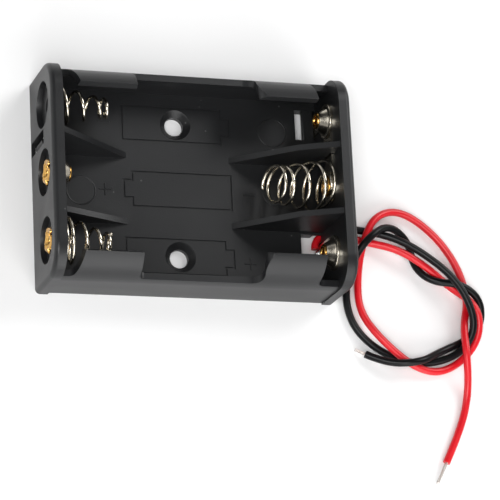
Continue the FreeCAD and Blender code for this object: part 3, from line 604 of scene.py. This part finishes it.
class CELLHOLDER_OT_contacts(bpy.types.Operator, Builder):
    """Dished buttons that the cells' positive ends touch, and the plates' finish"""

    bl_idname = "cell_holder.contacts"
    bl_label = "Contact buttons and plates"

    def execute(self, context):
        material = nickel_plate(self.colours.nickel)
        for name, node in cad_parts.items():
            if "plate" in name:
                node.data.materials.clear()
                node.data.materials.append(material)
        base, crown, sheet = 0.3, 2.0, 0.3
        profile = [  # (x from the wall, radius)
            (base, 3.0),
            (base, 2.2),
            (crown - sheet, 1.45),
            (crown - sheet, 1.25),
            (crown, 1.25),
            (crown, 1.6),
            (base + 0.8, 2.15),
            (base + sheet, 2.5),
            (base + sheet, 3.0),
        ]
        rounded = soften(profile, 0.4, steps=7) * MM
        for lane, side in (("mid", 1), ("far", -1), ("near", -1)):
            bowl = turned(rounded, seat_of(lane, side), side)
            place = f"{lane}_{hand_of(side)}"
            piece(f"button_{place}", *bowl, material, "plated_steel", [f"contact_{place}"])
        return {"FINISHED"}


class CELLHOLDER_OT_eyelets(bpy.types.Operator, Builder):
    """Brass eyelets: split and flared in the wall's outer recess, rolled over inside the bay"""

    bl_idname = "cell_holder.eyelets"
    bl_label = "Eyelets"
    back = -1.1 * MM  # foot of the outer recess

    def execute(self, context):
        material = eyelet_brass(self.colours.brass)
        for lane, side, reach, head in (  # head is its diameter
            ("mid", 1, 2.0, 2.9),
            ("far", -1, 2.0, 2.9),
            ("near", -1, 2.0, 2.9),
            ("mid", -1, 0.85, 3.9),
            ("near", 1, 0.85, 3.9),
        ):
            profile = self.profile(reach, head / 2)
            shape = turned(profile, seat_of(lane, side), side, self.petals, steps=96)
            node = f"eyelet_{lane}_{hand_of(side)}"
            piece(f"{node}_flared", *shape, material, "brass_eyelet", [node])
        return {"FINISHED"}

    def profile(self, reach, head):
        """Outline of the eyelet's sheet as (x, radius) in metres, from the trumpet to the head.

        The reach of the head's foot and the radius of the head are given in millimetres.
        """
        back, trumpet, flare = self.back / MM, 0.85, 0.35
        shank, bore = EYELET_SHANK / MM, EYELET_BORE / MM
        corners = [
            (back - trumpet, 1.5),
            (back - 0.35, 0.95),
            (back, bore),
            (reach + 0.1, bore),
            (reach + flare, 0.98),
            (reach + flare, head - 0.15),
            (reach, head),
            (reach, shank),
            (back, shank),
            (back, 1.9),
            (back - 0.25, 2.35),
            (back - trumpet + 0.1, 2.1),
        ]
        return soften(corners, 0.2, steps=6) * MM

    def petals(self, x, r, angle):
        """Pulls the flared rim in towards the shank at four splits and curls the petals between.

        A split has the strength exp(-(sin(2 a + 0.6) / 0.28)^2), and the curl moves a point by
        0.16 cos(4 a + 1.2) of what its radius has over the shank's.
        """
        over = r - EYELET_SHANK
        split = np.exp(-((np.sin(2 * angle + 0.6) / 0.28) ** 2))
        outside = (x < self.back + 0.02 * MM) & (over > 0)
        lifted = np.minimum(x - 0.16 * np.cos(4 * angle + 1.2) * over, self.back)
        pulled = EYELET_SHANK + over * (1 - 0.8 * split)
        return np.where(outside, lifted, x), np.where(outside, pulled, r)


class CELLHOLDER_OT_springs(bpy.types.Operator, Builder):
    """Conical contact springs, which a cell presses flat against the wall"""

    bl_idname = "cell_holder.springs"
    bl_label = "Springs"

    def execute(self, context):
        material = spring_nickel(self.colours.nickel)
        wire = self.sizes.spring_wire
        # Lengths and diameters in millimetres; turns are the open, the spiral's and the base's
        for lane, side, reach, base, end, turns, lean, travel in (
            ("mid", -1, 11.7, 9.6, 6.8, (3.0, 1.5, 0), 0.27, 6.0),
            ("far", 1, 9.4, 7.0, 3.8, (2.5, 0, 0), 0.0, 5.0),
            ("near", 1, 9.4, 8.4, 3.8, (2.5, 1.25, 1.0), 0.0, 5.0),
        ):
            radii = [(across * MM - wire) / 2 for across in (base, end)]
            line = spring_line(wire, reach * MM, *radii, *turns, lean) * np.array([side, side, 1.0])
            outward = unit(line * np.array([0.0, 1.0, 1.0]))
            foot = seat_of(lane, side)
            coil = tube(line + np.array(foot), wire / 2, outward, sides=14)
            node = f"spring_{lane}_{hand_of(side)}"
            made = piece(f"{node}_coil", *coil, material, "spring_wire", [node])
            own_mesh(made)
        return {"FINISHED"}


class CELLHOLDER_OT_leads(bpy.types.Operator, Builder):
    """Red and black leads in loose crossing loops, with their bare twisted ends"""

    bl_idname = "cell_holder.leads"
    bl_label = "Leads"

    def execute(self, context):
        red = insulation("soft_red_insulation", self.colours.red, 0.30, 0.42, 0.5)
        black = insulation("soft_black_insulation", self.colours.black, 0.24, 0.40, 0.2)
        strands = tinned_copper(self.colours.tin)
        for name, slot, route, material, real, bare in (
            ("red_lead", "red_insulation", RED_ROUTE, red, 0.143, 4.1 * MM),
            ("black_lead", "black_insulation", BLACK_ROUTE, black, 0.134, 1.9 * MM),
        ):
            line = wire_curve(f"{name}_wire", route, material, self.sizes.lead)
            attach(line, HOLDER)
            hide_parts(name)
            tip = self.twisted_end(f"{name}_strands", route, bare, strands)
            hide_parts(f"{name}_tip")
        return {"FINISHED"}

    def twisted_end(self, name, route, bare, material):
        """Seven strands: one straight, six along helices round it that close in at the cut end.

        The point at share s of strand k is s along the end's direction plus a point of a circle of
        one strand times (1 - 0.12 s), at an angle of k sixths of a turn plus the twist.
        """
        start, before = np.array(route[-1]) * MM, np.array(route[-2]) * MM
        along = unit(start - before)
        across = unit(np.cross(along, (0, 0, 1)))
        up = np.cross(across, along)
        twist_length = 3.2 * MM
        share = np.linspace(-0.15, 1, 26)[:, None]
        centre = start + along * share * bare
        paths = [centre]
        for k in range(6):
            angle = 2 * np.pi * (k / 6 + share * bare / twist_length)
            ring = across * np.cos(angle) + up * np.sin(angle)
            paths.append(centre + ring * self.sizes.strand * (1 - 0.12 * share))
        strands = joined(tube(path, self.sizes.strand / 2, up, sides=8) for path in paths)
        return piece(name, *strands, material, "tinned_core")


class CELLHOLDER_OT_inner_lead(bpy.types.Operator, Builder):
    """The black lead's stretch from its tag in the wall's slot through the floor's groove"""

    bl_idname = "cell_holder.inner_lead"
    bl_label = "Lead under the floor"

    def execute(self, context):
        material = bpy.data.materials["soft_black_insulation"]
        made = wire_curve("black_lead_inner_wire", INNER_ROUTE, material, self.sizes.lead)
        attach(made, HOLDER)
        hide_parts("black_lead_inner")
        return {"FINISHED"}


class CELLHOLDER_OT_solder(bpy.types.Operator, Builder):
    """Solder joints of the two leads on their plates"""

    bl_idname = "cell_holder.solder"
    bl_label = "Solder joints"

    def execute(self, context):
        material = bright_solder(self.colours.tin)
        for name in ("solder_red", "solder_black"):
            low, high = (np.array(corner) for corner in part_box(name))
            thin = int(np.argmin(high - low))
            dome = self.blob(low, high, thin, name == "solder_red")
            piece(f"{name}_joint", *dome, material, "solder", [name])
        return {"FINISHED"}

    def blob(self, low, high, thin, towards_low):
        """Dome that fills a box: height (1 - s^2)^0.8 at radius s, with a slow ripple round it.

        Its flat side faces the thin axis's high end if the dome points towards the low end.
        """
        s = np.linspace(0.02, 1, 14)[:, None]
        angle = np.linspace(0, 2 * np.pi, 36, endpoint=False)[None, :]
        ripple = 1 - 0.06 * s * (1 + np.cos(3 * angle + 0.7))
        flat = (s * ripple * np.cos(angle), s * ripple * np.sin(angle))
        height = (1 - s**2) ** 0.8 + 0 * angle
        middle, half = (low + high) / 2, (high - low) / 2
        axes = [a for a in range(3) if a != thin]
        points = np.zeros((*height.shape, 3))
        for axis, share in zip(axes, flat):
            points[..., axis] = middle[axis] + half[axis] * share
        foot, top = (high, low) if towards_low else (low, high)
        points[..., thin] = foot[thin] + (top[thin] - foot[thin]) * height
        rows, columns = height.shape
        faces = [tuple(f) for f in grid_faces(rows, columns, False, True)]
        faces.append(tuple(range(columns)))
        faces.append(tuple(range((rows - 1) * columns, rows * columns)))
        return points.reshape(-1, 3), faces


class CELLHOLDER_OT_stage(bpy.types.Operator, Builder):
    """Pale ground, soft studio light and the camera"""

    bl_idname = "cell_holder.stage"
    bl_label = "Stage"

    def execute(self, context):
        self.ground()
        self.camera()
        for name, place, size, power in (
            ("top_light", (-0.30, -0.28, 0.80), 0.45, 4.6),
            ("back_light", (0.50, 0.42, 0.56), 0.50, 3.6),
            ("front_light", (0.14, -0.74, 0.41), 0.90, 6.2),
            ("side_light", (-0.75, 0.05, 0.35), 0.60, 0.9),
        ):
            self.light(name, place, size, power)
        context.scene.world = studio_sky(overhead=0.06, horizon=1.0, falloff=3.0)
        context.scene.view_settings.view_transform = "Standard"
        return {"FINISHED"}

    def ground(self):
        """Square floor just under the holder, so that the two faces don't coincide."""
        half, top = 1.5, -0.05 * MM
        corners = [(x * half, y * half, top) for x, y in ((-1, -1), (1, -1), (1, 1), (-1, 1))]
        mesh = bpy.data.meshes.new("ground")
        mesh.from_pydata(corners, [], [(0, 1, 2, 3)])
        mesh.materials.append(ground_paper(self.colours.ground))
        made = bpy.data.objects.new("ground", mesh)
        bpy.context.scene.collection.objects.link(made)

    def light(self, name, place, size, power):
        """Round soft light that faces the origin."""
        lamp = bpy.data.lights.new(name, "AREA")
        lamp.shape = "DISK"
        lamp.size = size
        lamp.energy = power
        made = bpy.data.objects.new(name, lamp)
        made.location = place
        made.rotation_euler = Vector(place).to_track_quat("Z", "Y").to_euler()
        bpy.context.scene.collection.objects.link(made)

    def camera(self):
        """Camera at the photograph's place, its axes given as right, down and forward."""
        lens = bpy.data.cameras.new("photo_camera")
        lens.sensor_width = 36.0
        lens.lens = LENS
        lens.shift_x, lens.shift_y = LENS_SHIFT
        lens.clip_start, lens.clip_end = 0.05, 5.0
        made = bpy.data.objects.new("photo_camera", lens)
        right, down, forward = (Vector(v) for v in CAMERA_AXES)
        turn = Matrix((right, -down, -forward)).transposed().to_4x4()
        made.matrix_world = Matrix.Translation(CAMERA_PLACE) @ turn
        bpy.context.scene.collection.objects.link(made)
        bpy.context.scene.camera = made


# Routes of the leads in millimetres, as in the part's source

RED_ROUTE = [
    (23.2, -9.05, 0.95),
    (23.2, -7.05, 0.85),
    (27.0, -6.2, 0.80),
    (32.5, -7.2, 0.68),
    (38.0, -8.8, 2.40),
    (43.1, -11.6, 2.10),
    (47.6, -14.5, 0.40),
    (51.8, -18.7, 3.30),
    (52.4, -23.6, 2.00),
    (49.8, -27.7, 0.70),
    (44.8, -30.5, 0.70),
    (39.4, -29.6, 1.95),
    (33.7, -25.0, 2.40),
    (30.7, -19.8, 0.80),
    (30.7, -13.8, 0.80),
    (31.5, -8.0, 2.20),
    (34.0, -2.8, 2.60),
    (39.6, -1.2, 0.80),
    (45.5, -5.2, 0.70),
    (49.5, -10.8, 0.70),
    (51.1, -17.0, 0.66),
    (49.2, -22.2, 2.30),
    (48.9, -27.8, 3.90),
    (49.9, -33.9, 0.80),
    (48.1, -40.1, 0.70),
    (45.0, -46.1, 0.70),
]
BLACK_ROUTE = [
    (26.3, -4.8, 0.85),
    (32.2, -5.1, 0.70),
    (37.8, -6.9, 2.60),
    (42.6, -9.7, 3.10),
    (47.2, -13.7, 3.90),
    (50.1, -18.1, 3.70),
    (51.2, -22.9, 3.00),
    (48.9, -26.8, 1.20),
    (43.8, -28.7, 0.75),
    (38.3, -28.5, 0.70),
    (33.0, -26.2, 0.70),
    (29.2, -22.2, 0.70),
    (28.2, -16.6, 0.80),
    (29.5, -11.0, 2.20),
    (32.4, -7.0, 4.20),
    (36.6, -4.4, 2.40),
    (40.7, -6.8, 0.70),
    (41.3, -11.4, 0.66),
    (44.2, -14.3, 1.75),
    (49.2, -14.6, 2.60),
    (53.0, -17.1, 1.90),
    (53.3, -21.6, 0.60),
    (49.8, -24.6, 0.70),
    (44.9, -26.7, 1.30),
    (40.1, -29.4, 4.10),
    (34.8, -29.2, 1.85),
    (31.3, -27.4, 0.90),
]
INNER_ROUTE = [
    (-25.25, 6.25, 6.0),
    (-25.25, 6.25, 2.85),
    (-25.25, 6.25, 0.85),
    (-23.25, 6.25, 0.85),
    (-10.0, 6.25, 0.85),
    (5.0, 6.25, 0.85),
    (18.0, 6.25, 0.85),
    (22.0, 6.25, 0.85),
    (22.0, 2.25, 0.85),
    (22.0, -0.8, 0.85),
    (22.0, -4.8, 0.85),
    (24.0, -4.8, 0.85),
    (26.3, -4.8, 0.85),
]

# Camera fitted to the photograph

LENS = 212.7  # for a sensor 36 mm wide
LENS_SHIFT = (0.0058, -0.0232)
CAMERA_PLACE = (-0.14204, -0.15157, 0.46094)
CAMERA_AXES = (
    (0.95213623, -0.04747755, 0.30196437),
    (0.0427785, -0.9574459, -0.28542487),
    (0.30266582, 0.28468094, -0.90958791),
)


class VIEW3D_PT_cell_holder(bpy.types.Panel):
    """Sizes, colours and steps of the cell holder"""

    bl_label = "Cell Holder"
    bl_space_type = "VIEW_3D"
    bl_region_type = "UI"
    bl_category = "Cell Holder"

    def draw(self, context):
        layout = self.layout
        scene = context.scene
        for group in (scene.cell_holder_sizes, scene.cell_holder_colours):
            box = layout.box()
            for name in type(group).__annotations__:
                box.prop(group, name)
        for step in STEPS:
            layout.operator(step.bl_idname)


STEPS = (
    CELLHOLDER_OT_stage,
    CELLHOLDER_OT_leads,
    CELLHOLDER_OT_inner_lead,
    CELLHOLDER_OT_housing,
    CELLHOLDER_OT_floor_marks,
    CELLHOLDER_OT_contacts,
    CELLHOLDER_OT_eyelets,
    CELLHOLDER_OT_springs,
    CELLHOLDER_OT_solder,
)
CLASSES = (CellHolderSizes, CellHolderColours, *STEPS, VIEW3D_PT_cell_holder)


def register():
    for cls in CLASSES:
        bpy.utils.register_class(cls)
    bpy.types.Scene.cell_holder_sizes = bpy.props.PointerProperty(type=CellHolderSizes)
    bpy.types.Scene.cell_holder_colours = bpy.props.PointerProperty(type=CellHolderColours)


def unregister():
    del bpy.types.Scene.cell_holder_colours
    del bpy.types.Scene.cell_holder_sizes
    for cls in reversed(CLASSES):
        bpy.utils.unregister_class(cls)


def main():
    register()
    bpy.ops.cell_holder.stage()
    bpy.ops.cell_holder.leads()
    bpy.ops.cell_holder.inner_lead()
    bpy.ops.cell_holder.housing()
    bpy.ops.cell_holder.floor_marks()
    bpy.ops.cell_holder.contacts()
    bpy.ops.cell_holder.eyelets()
    bpy.ops.cell_holder.springs()
    bpy.ops.cell_holder.solder()


if __name__ == "__main__":
    main()
